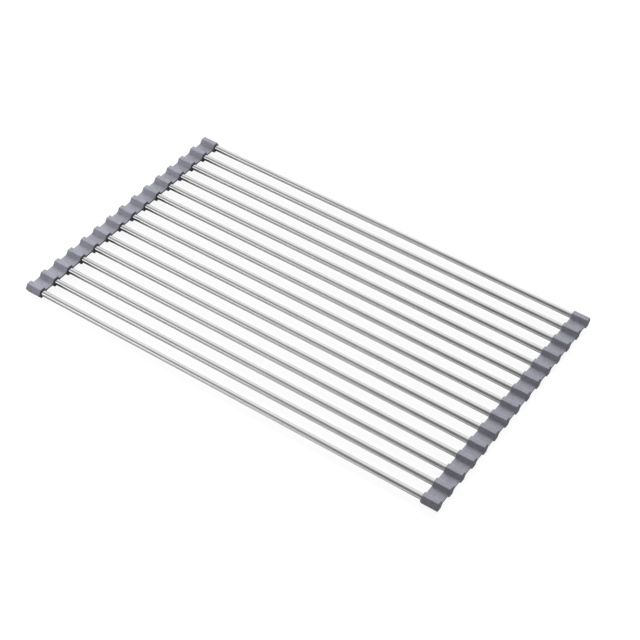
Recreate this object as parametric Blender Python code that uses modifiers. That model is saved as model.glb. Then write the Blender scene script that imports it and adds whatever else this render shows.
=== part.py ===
"""Roll-up over-sink drying rack.

Fifteen straight steel tubes lie side by side.  Their ends are plugged into two
soft strips, one along each side.  Around every tube end the strip is a solid
block; between two blocks it is only a thin web, which bends like a hinge, so
the whole rack rolls up.

Frame: metres, +X along the tubes, +Z up, origin on the surface the rack lies
on, under the middle of the rack.  Bar 01 is at +Y, bar 15 at -Y.

Each strip is modelled as fifteen segments that meet at the middles of the
webs.  The rounded end of one half-web sits in the hollow end of the next, both
centred on the bend axis, so a segment can swing without cutting its neighbour.
The empties named bend_axis_NN lie on those axes and carry the bars one after
another: turning bend_axis_01 about X lifts bar 01, turning bend_axis_14 lifts
bars 01 to 14.
"""

import math

import bpy
import bmesh
from mathutils import Vector

# ---------------------------------------------------------------- dimensions
BAR_COUNT = 15
PITCH = 0.0195              # tube axis to tube axis

OVERALL_LENGTH = 0.452      # outer face of one strip to outer face of the other
STRIP_WIDTH = 0.0166        # along the tubes
STRIP_HEIGHT = 0.010        # block height; the blocks are the feet too
END_WALL = 0.003            # strip material left behind each tube end

TUBE_OD = 0.006
TUBE_WALL = 0.0005

BLOCK_HALF_TOP = 0.00272    # half width of a block's flat crown, before its corners are rounded
BLOCK_HALF_BASE = 0.00485   # half width where its sloping side meets the web
BLOCK_CORNER = 0.0010       # crown corner radius
BLOCK_RIM = 0.0003          # half height of the upright rim on the free side of an end block
WEB_THICKNESS = 0.0017      # at the bend, in the middle of the web
WEB_ROOT_THICKNESS = 0.0019  # where it meets a block
WEB_FILLET = 0.0022         # block side to web

FIT_GAP = 0.0003            # all round between a tube and its pocket
BEND_GAP = 0.00045          # between the nose of one half-web and the hollow of the next

TUBE_SIDES = 20
CORNER_STEPS = 3
FILLET_STEPS = 4
NOSE_STEPS = 5

AXIS_Z = STRIP_HEIGHT / 2
POCKET_LENGTH = OVERALL_LENGTH - 2 * END_WALL
TUBE_LENGTH = POCKET_LENGTH - 2 * FIT_GAP
STRIP_X = (OVERALL_LENGTH - STRIP_WIDTH) / 2

STEEL = (0.78, 0.78, 0.77)
STRIP_GREY = (0.235, 0.235, 0.27)


def bar_y(k):
    """Y of the axis of bar k, counted 1 to BAR_COUNT from the +Y edge."""
    return ((BAR_COUNT + 1) / 2 - k) * PITCH


# ---------------------------------------------------------------- scene set-up
for old in list(bpy.data.objects):
    bpy.data.objects.remove(old, do_unlink=True)

parts = bpy.data.collections.new("over_sink_drying_rack")
cutters = bpy.data.collections.new("cutters")
bpy.context.scene.collection.children.link(parts)
bpy.context.scene.collection.children.link(cutters)


def principled(name, colour, metallic, roughness):
    mat = bpy.data.materials.new(name)
    mat.use_nodes = True
    shader = mat.node_tree.nodes["Principled BSDF"]
    shader.inputs["Base Color"].default_value = (*colour, 1.0)
    shader.inputs["Metallic"].default_value = metallic
    shader.inputs["Roughness"].default_value = roughness
    return mat


steel = principled("polished_steel", STEEL, 1.0, 0.18)
silicone = principled("grey_silicone", STRIP_GREY, 0.0, 0.55)


# ---------------------------------------------------------------- outlines
def rounded(corners, steps_of):
    """Points of an open outline through corners (y, z, radius), each corner rounded by its radius."""
    out = []
    for i, (y, z, r) in enumerate(corners):
        here = Vector((y, z))
        if r <= 0 or i in (0, len(corners) - 1):
            out.append((y, z))
            continue
        back = (Vector(corners[i - 1][:2]) - here).normalized()
        ahead = (Vector(corners[i + 1][:2]) - here).normalized()
        half = back.angle(ahead) / 2
        along = r / math.tan(half)
        centre = here + (back + ahead).normalized() * (r / math.sin(half))
        p0, p1 = here + back * along - centre, here + ahead * along - centre
        a0 = math.atan2(p0.y, p0.x)
        turn = math.atan2(p0.x * p1.y - p0.y * p1.x, p0.dot(p1))
        n = steps_of(r)
        for s in range(n + 1):
            a = a0 + turn * s / n
            out.append((centre.x + r * math.cos(a), centre.y + r * math.sin(a)))
    return out


def steps_of(radius):
    return FILLET_STEPS if radius == WEB_FILLET else CORNER_STEPS


def segment_outline(web_far, web_near):
    """Outline of one strip segment across the tubes, centred on its tube axis, anticlockwise.

    web_far: a half-web on the +Y side, ending in the hollow of the bend.
    web_near: a half-web on the -Y side, ending in the rounded nose of the bend.
    """
    half_web = WEB_THICKNESS / 2
    half_root = WEB_ROOT_THICKNESS / 2
    half_high = STRIP_HEIGHT / 2
    hinge = PITCH / 2
    hollow_r = half_web + BEND_GAP
    hollow_y = math.sqrt(hollow_r ** 2 - half_web ** 2)
    slope = (BLOCK_HALF_BASE - BLOCK_HALF_TOP) / (half_high - half_root)
    rim = BLOCK_HALF_TOP + slope * (half_high - BLOCK_RIM)

    upper = []
    if web_far:
        upper += [(hinge - hollow_y, half_web, 0), (BLOCK_HALF_BASE, half_root, WEB_FILLET)]
    else:
        upper += [(rim, 0, 0), (rim, BLOCK_RIM, 0)]
    upper += [(BLOCK_HALF_TOP, half_high, BLOCK_CORNER), (-BLOCK_HALF_TOP, half_high, BLOCK_CORNER)]
    if web_near:
        upper += [(-BLOCK_HALF_BASE, half_root, WEB_FILLET), (-hinge, half_web, 0)]
    else:
        upper += [(-rim, BLOCK_RIM, 0), (-rim, 0, 0)]

    top = rounded(upper, steps_of)
    bottom = [(y, -z) for y, z in reversed(top)]
    outline = list(top)
    if web_near:  # nose, a half circle about the bend axis
        for s in range(1, NOSE_STEPS):
            a = math.pi / 2 + math.pi * s / NOSE_STEPS
            outline.append((-hinge + half_web * math.cos(a), half_web * math.sin(a)))
    else:
        bottom = bottom[1:]
    outline += bottom
    if web_far:  # hollow, an arc about the bend axis
        a0 = math.atan2(-half_web, -hollow_y)
        for s in range(1, NOSE_STEPS):
            a = a0 - (2 * (math.pi + a0)) * s / NOSE_STEPS
            outline.append((hinge + hollow_r * math.cos(a), hollow_r * math.sin(a)))
    else:
        outline.pop()
    return outline


def extruded_mesh(name, outline, depth):
    """A flat outline given in (Y, Z), extruded by depth along X, as a closed mesh."""
    curve = bpy.data.curves.new(name + "_outline", "CURVE")
    curve.dimensions = "2D"
    curve.fill_mode = "BOTH"
    curve.extrude = depth / 2
    line = curve.splines.new("POLY")
    line.points.add(len(outline) - 1)
    for point, (y, z) in zip(line.points, outline):
        point.co = (y, z, 0.0, 1.0)
    line.use_cyclic_u = True
    guide = bpy.data.objects.new(name + "_guide", curve)
    guide.rotation_euler = (math.pi / 2, 0.0, math.pi / 2)  # outline plane to YZ, extrusion along X
    parts.objects.link(guide)
    bpy.context.view_layer.update()
    evaluated = guide.evaluated_get(bpy.context.evaluated_depsgraph_get())
    mesh = bpy.data.meshes.new_from_object(evaluated)
    mesh.name = name
    mesh.transform(guide.matrix_world)
    bpy.data.objects.remove(guide, do_unlink=True)
    bpy.data.curves.remove(curve)
    bm = bmesh.new()
    bm.from_mesh(mesh)
    bmesh.ops.remove_doubles(bm, verts=bm.verts, dist=0.00001)
    bmesh.ops.dissolve_limit(bm, angle_limit=math.radians(0.5), verts=bm.verts, edges=bm.edges)
    bmesh.ops.recalc_face_normals(bm, faces=bm.faces)
    bm.to_mesh(mesh)
    bm.free()
    mesh.materials.clear()
    mesh.materials.append(silicone)
    mesh.shade_smooth()
    mesh.set_sharp_from_angle(angle=math.radians(40))
    return mesh


def tube_mesh():
    """The tube wall's section, a thin rectangle beside the Z axis, for a Screw modifier."""
    mesh = bpy.data.meshes.new("tube_section")
    r_out, r_in, h = TUBE_OD / 2, TUBE_OD / 2 - TUBE_WALL, TUBE_LENGTH / 2
    bm = bmesh.new()
    ring = [bm.verts.new((x, 0, z)) for x, z in ((r_out, h), (r_out, -h), (r_in, -h), (r_in, h))]
    for a, b in zip(ring, ring[1:] + ring[:1]):
        bm.edges.new((a, b))
    bm.to_mesh(mesh)
    bm.free()
    mesh.materials.append(steel)
    return mesh


# ---------------------------------------------------------------- bend axes
# bend_axis[k] carries bar k; the last bar rests on the ground frame.
bend_axis = {}
ground = bpy.data.objects.new("rack_origin", None)
ground.empty_display_size = 0.02
parts.objects.link(ground)
bend_axis[BAR_COUNT] = (ground, Vector((0, 0, 0)))
for k in range(BAR_COUNT - 1, 0, -1):
    parent, parent_at = bend_axis[k + 1]
    at = Vector((0, (bar_y(k) + bar_y(k + 1)) / 2, AXIS_Z))
    empty = bpy.data.objects.new(f"bend_axis_{k:02d}", None)
    empty.empty_display_type = "SINGLE_ARROW"
    empty.empty_display_size = 0.01
    empty.parent = parent
    empty.location = at - parent_at
    parts.objects.link(empty)
    bend_axis[k] = (empty, at)


def place(name, mesh, k, at, collection=parts):
    """A piece of bar k at its place in the rack, carried by that bar's bend axis."""
    parent, parent_at = bend_axis[k]
    obj = bpy.data.objects.new(name, mesh)
    obj.parent = parent
    obj.location = Vector(at) - parent_at
    collection.objects.link(obj)
    return obj


# ---------------------------------------------------------------- pieces
first_mesh = extruded_mesh("strip_far_end", segment_outline(False, True), STRIP_WIDTH)
middle_mesh = extruded_mesh("strip_middle", segment_outline(True, True), STRIP_WIDTH)
last_mesh = extruded_mesh("strip_near_end", segment_outline(True, False), STRIP_WIDTH)
section = tube_mesh()

pocket_mesh = bpy.data.meshes.new("pocket_cutter")
bm = bmesh.new()
bmesh.ops.create_cone(
    bm,
    cap_ends=True,
    segments=TUBE_SIDES,
    radius1=TUBE_OD / 2 + FIT_GAP,
    radius2=TUBE_OD / 2 + FIT_GAP,
    depth=POCKET_LENGTH,
)
bm.to_mesh(pocket_mesh)
bm.free()

for k in range(1, BAR_COUNT + 1):
    y = bar_y(k)

    tube = place(f"tube_{k:02d}", section, k, (0, y, AXIS_Z))
    tube.rotation_euler = (0, math.pi / 2, 0)
    turn = tube.modifiers.new("turn", "SCREW")
    turn.axis = "Z"
    turn.steps = TUBE_SIDES
    turn.render_steps = TUBE_SIDES
    turn.use_merge_vertices = True
    turn.merge_threshold = 0.00002
    turn.use_smooth_shade = True

    cutter = place(f"pocket_{k:02d}", pocket_mesh, k, (0, y, AXIS_Z), cutters)
    cutter.rotation_euler = (0, math.pi / 2, 0)
    cutter.hide_render = True
    cutter.display_type = "WIRE"

    mesh = first_mesh if k == 1 else last_mesh if k == BAR_COUNT else middle_mesh
    for side, x in (("left", -STRIP_X), ("right", STRIP_X)):
        segment = place(f"{side}_strip_{k:02d}", mesh, k, (x, y, AXIS_Z))
        pocket = segment.modifiers.new("tube_pocket", "BOOLEAN")
        pocket.operation = "DIFFERENCE"
        pocket.solver = "EXACT"
        pocket.object = cutter

bpy.context.view_layer.update()
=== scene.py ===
"""Looks of the roll-up over-sink drying rack.

Fifteen polished stainless tubes and two soft blue-grey strips.  Each tube is
one turned mesh.  Each strip is drawn as fourteen pieces, from the middle of
one block to the middle of the next, so that every piece has one web in it,
between two bars.  The pieces meet in flat seam planes inside the
blocks, where nothing bends.

Metres, +X along the tubes, +Z up, bar 01 at +Y.
"""

import math

import bpy
import bmesh
import numpy as np
from mathutils import Matrix, Vector


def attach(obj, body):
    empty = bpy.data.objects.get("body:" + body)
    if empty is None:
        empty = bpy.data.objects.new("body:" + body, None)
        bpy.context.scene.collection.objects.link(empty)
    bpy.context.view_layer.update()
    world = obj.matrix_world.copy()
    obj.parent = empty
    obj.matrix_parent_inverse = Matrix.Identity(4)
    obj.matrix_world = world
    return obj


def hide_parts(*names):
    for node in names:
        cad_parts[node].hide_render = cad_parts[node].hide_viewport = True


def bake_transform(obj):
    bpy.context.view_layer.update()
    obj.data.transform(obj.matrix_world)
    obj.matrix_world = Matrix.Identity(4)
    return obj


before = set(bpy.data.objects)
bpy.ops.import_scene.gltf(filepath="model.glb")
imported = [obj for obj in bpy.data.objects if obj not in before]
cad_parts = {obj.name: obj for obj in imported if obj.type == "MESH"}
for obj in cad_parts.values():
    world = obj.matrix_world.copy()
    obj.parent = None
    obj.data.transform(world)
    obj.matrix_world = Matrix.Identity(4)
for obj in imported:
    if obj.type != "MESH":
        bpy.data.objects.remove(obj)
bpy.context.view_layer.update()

# ---------------------------------------------------------------- dimensions, the same as the frame's
BAR_COUNT = 15
PITCH = 0.0195
OVERALL_LENGTH = 0.452
STRIP_WIDTH = 0.0166
STRIP_HEIGHT = 0.010
END_WALL = 0.003
TUBE_OD = 0.006
TUBE_WALL = 0.0005
TUBE_LENGTH = 0.4454
AXIS_Z = STRIP_HEIGHT / 2

BLOCK_HALF_TOP = 0.00272      # half width of a block's crown, before its corners are rounded
BLOCK_HALF_BASE = 0.00485     # half width where its sloping side meets the web
BLOCK_CORNER = 0.0010
BLOCK_RIM = 0.0003            # half height of the upright rim on the free side of an end block
RIM_CORNER = 0.0003
WEB_HALF = 0.00085            # half thickness at the bend
WEB_HALF_ROOT = 0.00095
WEB_FILLET = 0.0022
EDGE_ROUND = 0.0003           # edges along both long faces of a strip

POCKET_RADIUS = 0.00303
MOUTH_RADIUS = 0.00318        # the pocket flares where the tube goes in
MOUTH_DEPTH = 0.0003

TUBE_SIDES = 64


def bar_y(k):
    return ((BAR_COUNT + 1) / 2 - k) * PITCH


# ---------------------------------------------------------------- node helpers
class Graph:
    """A short way to add and link shader nodes."""

    def __init__(self, tree):
        self.tree = tree
        tree.nodes.clear()

    def add(self, kind, settings=None, **inputs):
        node = self.tree.nodes.new(kind)
        for name, value in (settings or {}).items():
            setattr(node, name, value)
        for name, value in inputs.items():
            self.put(node, name.replace("_", " "), value)
        return node

    def put(self, node, name, value):
        socket = node.inputs[int(name[1:])] if name[0] == "#" else node.inputs[name]
        if isinstance(value, bpy.types.NodeSocket):
            self.tree.links.new(value, socket)
        else:
            socket.default_value = value

    def math(self, operation, a, b=0.0, c=0.0):
        node = self.add("ShaderNodeMath", {"operation": operation})
        for i, value in enumerate((a, b, c)):
            self.put(node, f"#{i}", value)
        return node.outputs[0]

    def scaled(self, vector, scale):
        node = self.add("ShaderNodeVectorMath", {"operation": "MULTIPLY"})
        self.put(node, "#0", vector)
        self.put(node, "#1", scale)
        return node.outputs[0]

    def noise(self, vector, scale, detail=2.0, roughness=0.5):
        node = self.add("ShaderNodeTexNoise", {"noise_dimensions": "3D"}, Vector=vector)
        self.put(node, "Scale", scale)
        self.put(node, "Detail", detail)
        self.put(node, "Roughness", roughness)
        return node.outputs["Fac"]

    def ranged(self, value, lo, hi, to_lo, to_hi, kind="LINEAR"):
        node = self.add("ShaderNodeMapRange", {"interpolation_type": kind})
        for name, v in (("Value", value), ("From Min", lo), ("From Max", hi), ("To Min", to_lo), ("To Max", to_hi)):
            self.put(node, name, v)
        return node.outputs["Result"]

    def mix(self, factor, a, b, blend="MIX"):
        node = self.add("ShaderNodeMix", {"data_type": "RGBA", "blend_type": blend})
        self.put(node, "#0", factor)
        self.put(node, "#6", a)
        self.put(node, "#7", b)
        return node.outputs[2]


def new_material(name):
    mat = bpy.data.materials.new(name)
    mat.use_nodes = True
    return mat, Graph(mat.node_tree)


# ---------------------------------------------------------------- materials
def polished_steel():
    """Drawn and polished stainless: long faint draw lines and soft smudges."""
    mat, g = new_material("polished_stainless")
    at = g.add("ShaderNodeTexCoord").outputs["Object"]
    lines = g.noise(g.scaled(at, (22.0, 1500.0, 1500.0)), 1.0, 3.0, 0.6)
    smudge = g.noise(at, 38.0, 3.0, 0.55)
    tone = g.math("ADD", g.math("MULTIPLY", lines, 0.6), g.math("MULTIPLY", smudge, 0.4))
    colour = g.mix(g.ranged(tone, 0.36, 0.64, 0.0, 1.0), (0.61, 0.61, 0.612, 1.0), (0.70, 0.70, 0.703, 1.0))
    rough = g.math("ADD", g.ranged(smudge, 0.35, 0.70, 0.115, 0.175), g.ranged(lines, 0.3, 0.7, -0.02, 0.04))
    bump = g.add("ShaderNodeBump", Strength=0.25, Distance=0.00001, Height=lines)
    shader = g.add("ShaderNodeBsdfPrincipled", Base_Color=colour, Metallic=1.0, Roughness=rough,
                   Normal=bump.outputs[0])
    out = g.add("ShaderNodeOutputMaterial")
    g.put(out, "Surface", shader.outputs[0])
    return mat


def blue_grey_silicone():
    """Moulded silicone: satin, faint tool lines along the tubes, mottling and a fine grain."""
    mat, g = new_material("blue_grey_silicone")
    at = g.add("ShaderNodeAttribute", {"attribute_type": "GEOMETRY", "attribute_name": "rest"}).outputs["Vector"]
    mottle = g.noise(at, 95.0, 3.0, 0.55)
    lines = g.noise(g.scaled(at, (55.0, 1900.0, 1900.0)), 1.0, 2.0, 0.5)
    grain = g.noise(at, 5200.0, 2.0, 0.5)
    fleck = g.noise(g.scaled(at, (420.0, 900.0, 900.0)), 1.0, 3.0, 0.6)
    tone = g.math("ADD", g.math("MULTIPLY", mottle, 0.55),
                  g.math("ADD", g.math("MULTIPLY", lines, 0.30), g.math("MULTIPLY", grain, 0.15)))
    shade = g.math("ADD", g.math("MULTIPLY", tone, 0.5), g.math("MULTIPLY", fleck, 0.5))
    colour = g.mix(g.ranged(shade, 0.36, 0.64, 0.0, 1.0), (0.140, 0.143, 0.172, 1.0), (0.228, 0.232, 0.267, 1.0))
    rough = g.ranged(tone, 0.35, 0.65, 0.44, 0.60)
    height = g.math("ADD", g.math("MULTIPLY", lines, 0.6), g.math("MULTIPLY", grain, 0.5))
    bump = g.add("ShaderNodeBump", Strength=0.45, Distance=0.00004, Height=height)
    shader = g.add("ShaderNodeBsdfPrincipled", Base_Color=colour, Metallic=0.0, Roughness=rough,
                   Normal=bump.outputs[0])
    g.put(shader, "Specular IOR Level", 0.42)
    g.put(shader, "IOR", 1.42)
    g.put(shader, "Sheen Weight", 0.04)
    g.put(shader, "Sheen Roughness", 0.5)
    out = g.add("ShaderNodeOutputMaterial")
    g.put(out, "Surface", shader.outputs[0])
    return mat


steel = polished_steel()
silicone = blue_grey_silicone()


# ---------------------------------------------------------------- mesh helpers
def finished(bm, name, material, smooth_angle, weighted=True):
    """An object from a bmesh, shaded smooth with sharp edges kept, its flat faces flat."""
    bmesh.ops.recalc_face_normals(bm, faces=bm.faces)
    mesh = bpy.data.meshes.new(name)
    bm.to_mesh(mesh)
    bm.free()
    mesh.materials.clear()
    mesh.materials.append(material)
    mesh.shade_smooth()
    mesh.set_sharp_from_angle(angle=math.radians(smooth_angle))
    obj = bpy.data.objects.new(name, mesh)
    bpy.context.scene.collection.objects.link(obj)
    if weighted:
        modifier = obj.modifiers.new("flat_faces", "WEIGHTED_NORMAL")
        modifier.keep_sharp = True
        apply_modifiers(obj)
    return obj


def apply_modifiers(obj):
    bpy.context.view_layer.update()
    made = bpy.data.meshes.new_from_object(obj.evaluated_get(bpy.context.evaluated_depsgraph_get()))
    old = obj.data
    obj.modifiers.clear()
    obj.data = made
    made.name = old.name + "_final"
    bpy.data.meshes.remove(old)


def keep_rest(obj):
    """Stores every point's place at rest, which the materials read."""
    co = np.zeros(len(obj.data.vertices) * 3, np.float32)
    obj.data.vertices.foreach_get("co", co)
    attribute = obj.data.attributes.new("rest", "FLOAT_VECTOR", "POINT")
    attribute.data.foreach_set("vector", co)


def turned(bm, sections, centre, sides, phase=0.0):
    """Adds a shape turned about an axis along X through centre: sections are (x, radius), joined in order into a closed loop."""
    rings = []
    for x, radius in sections:
        rings.append([bm.verts.new((centre[0] + x,
                                    centre[1] + radius * math.cos(phase + 2 * math.pi * i / sides),
                                    centre[2] + radius * math.sin(phase + 2 * math.pi * i / sides)))
                      for i in range(sides)])
    return rings


def bridge(bm, ring_a, ring_b):
    n = len(ring_a)
    for i in range(n):
        bm.faces.new((ring_a[i], ring_a[(i + 1) % n], ring_b[(i + 1) % n], ring_b[i]))


# ---------------------------------------------------------------- tubes
def tube(k):
    """A hollow tube with its cut ends lightly broken, inside and outside."""
    bm = bmesh.new()
    half, r_out, r_in, chamfer = TUBE_LENGTH / 2, TUBE_OD / 2, TUBE_OD / 2 - TUBE_WALL, 0.00012
    true = half - 0.0008                     # from here on the wall's normals are exactly square to the axis
    loop = [
        (-half, r_out - chamfer), (-half + chamfer * 0.4, r_out - chamfer * 0.4), (-half + chamfer, r_out),
        (-true, r_out), (-half / 3, r_out), (half / 3, r_out), (true, r_out),
        (half - chamfer, r_out), (half - chamfer * 0.4, r_out - chamfer * 0.4), (half, r_out - chamfer),
        (half, r_in + chamfer * 0.5), (half - chamfer * 0.5, r_in),
        (true, r_in), (half / 3, r_in), (-half / 3, r_in), (-true, r_in),
        (-half + chamfer * 0.5, r_in), (-half, r_in + chamfer * 0.5),
    ]
    rings = turned(bm, loop, (0.0, bar_y(k), AXIS_Z), TUBE_SIDES, 0.37 * k)
    for a, b in zip(rings, rings[1:] + rings[:1]):
        bridge(bm, a, b)
    obj = finished(bm, f"steel_tube_{k:02d}", steel, 50, weighted=False)
    keep_rest(obj)
    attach(obj, f"bar_{k:02d}")
    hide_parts(f"tube_{k:02d}")
    return obj


# ---------------------------------------------------------------- strip outline
def arc_steps(radius):
    return 9 if radius > 0.0012 else 7


def curve_with_normals(corners, longest):
    """Points along an open outline through corners (y, z, radius), with the outward normal of each.

    The outline runs towards +Y with the solid below it.  Straight runs are cut
    into steps no longer than longest.  Returns (y, z, normal y, normal z).
    """
    pieces = []
    pts = [Vector(c[:2]) for c in corners]
    ends = [(pts[0], pts[0])]
    arcs = [None]
    for i in range(1, len(corners) - 1):
        r = corners[i][2]
        back, ahead = (pts[i - 1] - pts[i]).normalized(), (pts[i + 1] - pts[i]).normalized()
        half = back.angle(ahead) / 2
        along = r / math.tan(half)
        centre = pts[i] + (back + ahead).normalized() * (r / math.sin(half))
        a, b = pts[i] + back * along, pts[i] + ahead * along
        ends.append((a, b))
        arcs.append((centre, r))
    ends.append((pts[-1], pts[-1]))
    arcs.append(None)
    out = []
    for i in range(len(corners)):
        if arcs[i]:
            centre, r = arcs[i]
            p0, p1 = ends[i][0] - centre, ends[i][1] - centre
            a0 = math.atan2(p0.y, p0.x)
            turn = math.atan2(p0.x * p1.y - p0.y * p1.x, p0.dot(p1))
            n = max(2, min(arc_steps(r), int(abs(turn) / math.radians(9)) + 1))
            sign = -1.0 if turn > 0 else 1.0  # a left turn is a hollow corner
            for s in range(n + 1):
                a = a0 + turn * s / n
                out.append((centre.x + r * math.cos(a), centre.y + r * math.sin(a),
                            sign * math.cos(a), sign * math.sin(a)))
        if i + 1 < len(corners):
            a, b = ends[i][1], ends[i + 1][0]
            run = b - a
            if run.length > 1e-9:
                normal = Vector((-run.y, run.x)).normalized()
                n = max(1, math.ceil(run.length / longest))
                first = 0 if i == 0 else 1
                last = n if i + 1 == len(corners) - 1 else n - 1
                for s in range(first, last + 1):
                    p = a + run * (s / n)
                    out.append((p.x, p.y, normal.x, normal.y))
    return out


HALF = STRIP_HEIGHT / 2


def piece_outline(free_far, free_near):
    """Closed outline of a strip piece about its bend axis, anticlockwise seen from +X, as (y, z, normal y, normal z)."""
    far, near = PITCH / 2, -PITCH / 2
    slope = (BLOCK_HALF_BASE - BLOCK_HALF_TOP) / (HALF - WEB_HALF_ROOT)
    rim = BLOCK_HALF_TOP + slope * (HALF - BLOCK_RIM)
    corners = []
    if free_near:
        corners += [(near - rim, 0.0, 0.0), (near - rim, BLOCK_RIM, RIM_CORNER), (near - BLOCK_HALF_TOP, HALF, BLOCK_CORNER)]
    else:
        corners += [(near, HALF, 0.0)]
    corners += [
        (near + BLOCK_HALF_TOP, HALF, BLOCK_CORNER),
        (near + BLOCK_HALF_BASE, WEB_HALF_ROOT, WEB_FILLET),
        (0.0, WEB_HALF, 0.015),
        (far - BLOCK_HALF_BASE, WEB_HALF_ROOT, WEB_FILLET),
        (far - BLOCK_HALF_TOP, HALF, BLOCK_CORNER),
    ]
    if free_far:
        corners += [(far + BLOCK_HALF_TOP, HALF, BLOCK_CORNER), (far + rim, BLOCK_RIM, RIM_CORNER), (far + rim, 0.0, 0.0)]
    else:
        corners += [(far, HALF, 0.0)]
    top = curve_with_normals(corners, 0.0007)
    if free_near:
        top[0] = (top[0][0], 0.0, -1.0, 0.0)
    else:
        top[0] = (top[0][0], top[0][1], 0.0, 1.0)
    if free_far:
        top[-1] = (top[-1][0], 0.0, 1.0, 0.0)
    else:
        top[-1] = (top[-1][0], top[-1][1], 0.0, 1.0)
    bottom = [(y, -z, ny, -nz) for y, z, ny, nz in top]
    if free_near:
        bottom = bottom[1:]
    if free_far:
        bottom = bottom[:-1]
    return bottom + top[::-1]


def strip_body(outline):
    """The outline along X with its two long edges rounded, centred on X 0."""
    bm = bmesh.new()
    w, r, steps = STRIP_WIDTH / 2, EDGE_ROUND, 5
    stations = []
    for j in range(steps + 1):
        a = math.pi / 2 * j / steps
        stations.append((-w + r * (1 - math.cos(a)), r * (1 - math.sin(a))))
    stations += [(-x, inset) for x, inset in reversed(stations)]
    rings = [[bm.verts.new((x, y - ny * inset, z - nz * inset)) for y, z, ny, nz in outline] for x, inset in stations]
    for a, b in zip(rings, rings[1:]):
        bridge(bm, a, b)
    bm.faces.new(rings[0][::-1])
    bm.faces.new(rings[-1])
    bmesh.ops.recalc_face_normals(bm, faces=bm.faces)
    return bm


def pocket_cutter(name, ys, side):
    """Turned cutters for the tube pockets, open towards the rack's middle. side is -1 for the left strip."""
    bm = bmesh.new()
    w = STRIP_WIDTH / 2
    bottom = -w + END_WALL            # measured towards the middle of the rack
    loop = [(bottom, 0.0024), (bottom + 0.0006, POCKET_RADIUS), (w - MOUTH_DEPTH, POCKET_RADIUS),
            (w - MOUTH_DEPTH * 0.35, POCKET_RADIUS + (MOUTH_RADIUS - POCKET_RADIUS) * 0.4),
            (w, MOUTH_RADIUS), (w + 0.002, MOUTH_RADIUS + 0.0012)]
    for y in ys:
        rings = turned(bm, [(-side * x, radius) for x, radius in loop], (0.0, y, 0.0), TUBE_SIDES, math.pi / 2)
        for a, b in zip(rings, rings[1:]):
            bridge(bm, a, b)
        bm.faces.new(rings[0][::-1])
        bm.faces.new(rings[-1])
    bmesh.ops.recalc_face_normals(bm, faces=bm.faces)
    mesh = bpy.data.meshes.new(name)
    bm.to_mesh(mesh)
    bm.free()
    obj = bpy.data.objects.new(name, mesh)
    bpy.context.scene.collection.objects.link(obj)
    return obj


def strip_master(name, side, free_far, free_near):
    """One strip piece with its half pockets cut, about its bend axis."""
    bm = strip_body(piece_outline(free_far, free_near))
    mesh = bpy.data.meshes.new(name + "_blank")
    bm.to_mesh(mesh)
    bm.free()
    blank = bpy.data.objects.new(name + "_blank", mesh)
    bpy.context.scene.collection.objects.link(blank)
    cutter = pocket_cutter(name + "_cutter", (-PITCH / 2, PITCH / 2), side)
    cut = blank.modifiers.new("pockets", "BOOLEAN")
    cut.operation = "DIFFERENCE"
    cut.solver = "EXACT"
    cut.object = cutter
    apply_modifiers(blank)
    bm = bmesh.new()
    bm.from_mesh(blank.data)
    bmesh.ops.remove_doubles(bm, verts=bm.verts, dist=0.0000005)
    bmesh.ops.dissolve_degenerate(bm, edges=bm.edges, dist=0.0000005)
    open_edges = sum(1 for e in bm.edges if len(e.link_faces) != 2)
    if open_edges:
        raise RuntimeError(f"{name} has {open_edges} open edges")
    for o in (blank, cutter):
        data = o.data
        bpy.data.objects.remove(o)
        bpy.data.meshes.remove(data)
    return finished(bm, name, silicone, 32)


def strip(side, label):
    masters = {
        "far": strip_master(f"{label}_far", side, True, False),
        "middle": strip_master(f"{label}_middle", side, False, False),
        "near": strip_master(f"{label}_near", side, False, True),
    }
    x = side * (OVERALL_LENGTH - STRIP_WIDTH) / 2
    for k in range(1, BAR_COUNT):
        bend = (bar_y(k) + bar_y(k + 1)) / 2
        kind = "far" if k == 1 else "near" if k == BAR_COUNT - 1 else "middle"
        obj = bpy.data.objects.new(f"{label}_silicone_{k:02d}", masters[kind].data.copy())
        bpy.context.scene.collection.objects.link(obj)
        obj.data.transform(Matrix.Translation((x, bend, AXIS_Z)))
        keep_rest(obj)
        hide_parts(f"{label}_strip_{k:02d}", f"{label}_strip_{k + 1:02d}")
        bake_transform(obj)
    for master in masters.values():
        data = master.data
        bpy.data.objects.remove(master)
        bpy.data.meshes.remove(data)


for k in range(1, BAR_COUNT + 1):
    tube(k)
strip(-1, "left")
strip(1, "right")


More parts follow.
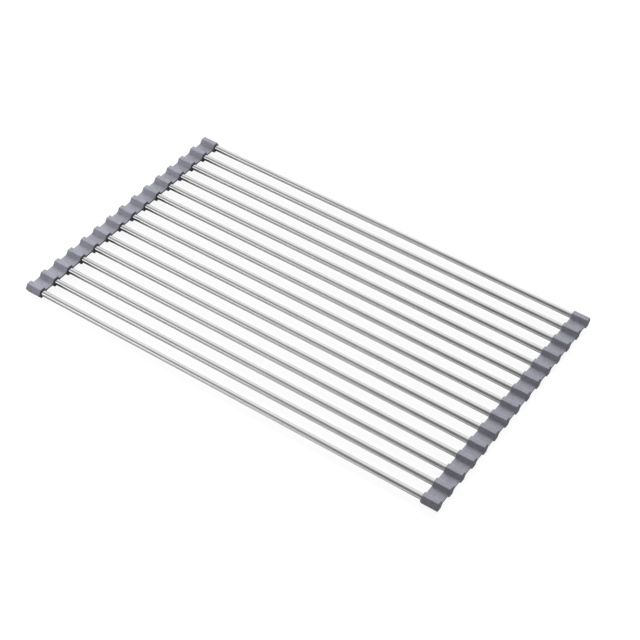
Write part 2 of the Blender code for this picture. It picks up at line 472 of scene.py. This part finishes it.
# ---------------------------------------------------------------- floor
def floor():
    """A plain pale ground. Seen directly it is a clear film with faint shade on it, so a web bent down past it still
    shows. What it throws back on the rack is a softer grey with a painted glow, which fades out near the strips as
    painted shade."""
    mesh = bpy.data.meshes.new("floor")
    bm = bmesh.new()
    bmesh.ops.create_grid(bm, x_segments=8, y_segments=8, size=30.0)
    bm.to_mesh(mesh)
    bm.free()
    obj = bpy.data.objects.new("floor", mesh)
    bpy.context.scene.collection.objects.link(obj)
    mat, g = new_material("pale_floor")
    seen = g.add("ShaderNodeLightPath").outputs["Is Camera Ray"]
    soft = g.add("ShaderNodeBsdfDiffuse", Color=(0.35, 0.35, 0.35, 1.0))
    place = g.add("ShaderNodeSeparateXYZ")
    g.put(place, "#0", g.add("ShaderNodeTexCoord").outputs["Object"])
    # Painted glow on the floor, seen only in reflections and bounce light; it fades out near both strips as painted
    # shade.
    glow_clear_of_strips = g.math("MULTIPLY", g.ranged(place.outputs["X"], -0.19, 0.06, 0.0, 1.0, "SMOOTHSTEP"),
                   g.ranged(place.outputs["X"], 0.175, 0.215, 1.0, 0.0, "SMOOTHSTEP"))
    # Painted shade: the glow dies away beside the left strip's inner face, where that strip's shadow falls.
    glow_inside_left_strip = g.ranged(place.outputs["X"], -0.206, -0.178, 0.0, 0.13, "SMOOTHSTEP")
    # The floor glows with this painted light though it is no lamp.
    painted_floor_glow = g.add("ShaderNodeEmission", Color=(1.0, 1.0, 1.0, 1.0), Strength=g.math("MULTIPLY_ADD", glow_clear_of_strips, 0.24, glow_inside_left_strip))
    bounce = g.add("ShaderNodeAddShader")
    g.put(bounce, "#0", soft.outputs[0])
    g.put(bounce, "#1", painted_floor_glow.outputs[0])
    direct = g.add("ShaderNodeBsdfDiffuse", Color=(0.08, 0.08, 0.08, 1.0))
    clear = g.add("ShaderNodeBsdfTransparent", Color=(0.92, 0.92, 0.92, 1.0))
    lifted = g.add("ShaderNodeAddShader")
    g.put(lifted, "#0", direct.outputs[0])
    g.put(lifted, "#1", clear.outputs[0])
    both = g.add("ShaderNodeMixShader")
    g.put(both, "#0", seen)
    g.put(both, "#1", bounce.outputs[0])
    g.put(both, "#2", lifted.outputs[0])
    out = g.add("ShaderNodeOutputMaterial")
    g.put(out, "Surface", both.outputs[0])
    mesh.materials.append(mat)


floor()


# ---------------------------------------------------------------- light
def studio():
    """Soft pale studio: bright behind, darker in front and to the right, with one wide soft window at the near left."""
    world = bpy.data.worlds.new("studio")
    world.use_nodes = True
    g = Graph(world.node_tree)
    at = g.add("ShaderNodeTexCoord").outputs["Generated"]
    axes = g.add("ShaderNodeSeparateXYZ")
    g.put(axes, "#0", at)
    behind = g.ranged(axes.outputs["Y"], -0.84, 0.82, 0.0, 1.0, "SMOOTHSTEP")
    strength = g.ranged(behind, 0.0, 1.0, 0.16, 1.25)
    strength = g.math("MULTIPLY", strength, g.ranged(axes.outputs["X"], 0.0, 0.65, 1.0, 0.40, "SMOOTHSTEP"))
    window = g.math("MULTIPLY", g.ranged(axes.outputs["X"], -0.46, -0.275, 1.0, 0.0, "SMOOTHSTEP"),
                    g.ranged(axes.outputs["X"], -0.92, -0.72, 0.0, 1.0, "SMOOTHSTEP"))
    window = g.math("MULTIPLY", window, g.ranged(axes.outputs["Y"], -0.45, -0.25, 1.0, 0.0, "SMOOTHSTEP"))
    window = g.math("MULTIPLY", window, g.ranged(axes.outputs["Z"], 0.06, 0.18, 0.0, 1.0, "SMOOTHSTEP"))
    window = g.math("MULTIPLY", window, g.ranged(axes.outputs["Z"], 0.46, 0.63, 1.0, 0.0, "SMOOTHSTEP"))
    strength = g.math("ADD", strength, g.math("MULTIPLY", window, 1.6))
    soft = g.add("ShaderNodeBackground", Color=(1.0, 1.0, 1.0, 1.0))
    g.put(soft, "Strength", strength)
    plain = g.add("ShaderNodeBackground", Color=(1.0, 1.0, 1.0, 1.0), Strength=1.0)
    both = g.add("ShaderNodeMixShader")
    g.put(both, "#0", g.add("ShaderNodeLightPath").outputs["Is Camera Ray"])
    g.put(both, "#1", soft.outputs[0])
    g.put(both, "#2", plain.outputs[0])
    out = g.add("ShaderNodeOutputWorld")
    g.put(out, "Surface", both.outputs[0])
    bpy.context.scene.world = world


def aim(obj, at, target):
    obj.location = at
    obj.rotation_mode = "QUATERNION"
    obj.rotation_quaternion = (Vector(target) - Vector(at)).to_track_quat("-Z", "Y")


def key_light(direction, strength, angle):
    """A very wide soft key, the same all over the table."""
    light = bpy.data.lights.new("key", "SUN")
    light.energy = strength
    light.angle = math.radians(angle)
    obj = bpy.data.objects.new("key", light)
    bpy.context.scene.collection.objects.link(obj)
    aim(obj, Vector(direction).normalized() * 3.0, (0, 0, 0))
    obj.visible_camera = False
    obj.visible_glossy = False


def panel(name, centre, target, width, height, power, mirrored=True):
    light = bpy.data.lights.new(name, "AREA")
    light.shape = "RECTANGLE"
    light.size, light.size_y = width, height
    light.energy = power
    obj = bpy.data.objects.new(name, light)
    bpy.context.scene.collection.objects.link(obj)
    aim(obj, centre, target)
    obj.visible_camera = False
    obj.visible_glossy = mirrored


studio()
key_light((-0.33, 0.81, 0.61), 4.8, 38.0)
panel("side_fill", (-0.75, -0.27, 0.17), (-0.2175, 0.0, 0.0), 0.30, 0.20, 5.8, mirrored=False)

# ---------------------------------------------------------------- camera
camera = bpy.data.cameras.new("camera")
camera.sensor_width = 36.0
camera.lens = 92.1
camera.clip_start, camera.clip_end = 0.02, 100.0
camera.shift_x, camera.shift_y = -0.4 / 640, 0.65 / 640
eye = bpy.data.objects.new("camera", camera)
bpy.context.scene.collection.objects.link(eye)
right = Vector((0.8295, 0.5565, 0.0472)).normalized()
back = Vector((0.3694, -0.6101, 0.7009))
back = (back - right * back.dot(right)).normalized()
up = back.cross(right)
eye.matrix_world = Matrix((
    (right.x, up.x, back.x, 0.5863),
    (right.y, up.y, back.y, -0.9449),
    (right.z, up.z, back.z, 1.0773),
    (0.0, 0.0, 0.0, 1.0),
))
bpy.context.scene.camera = eye

bpy.context.scene.view_settings.view_transform = "Standard"
bpy.context.scene.view_settings.look = "None"
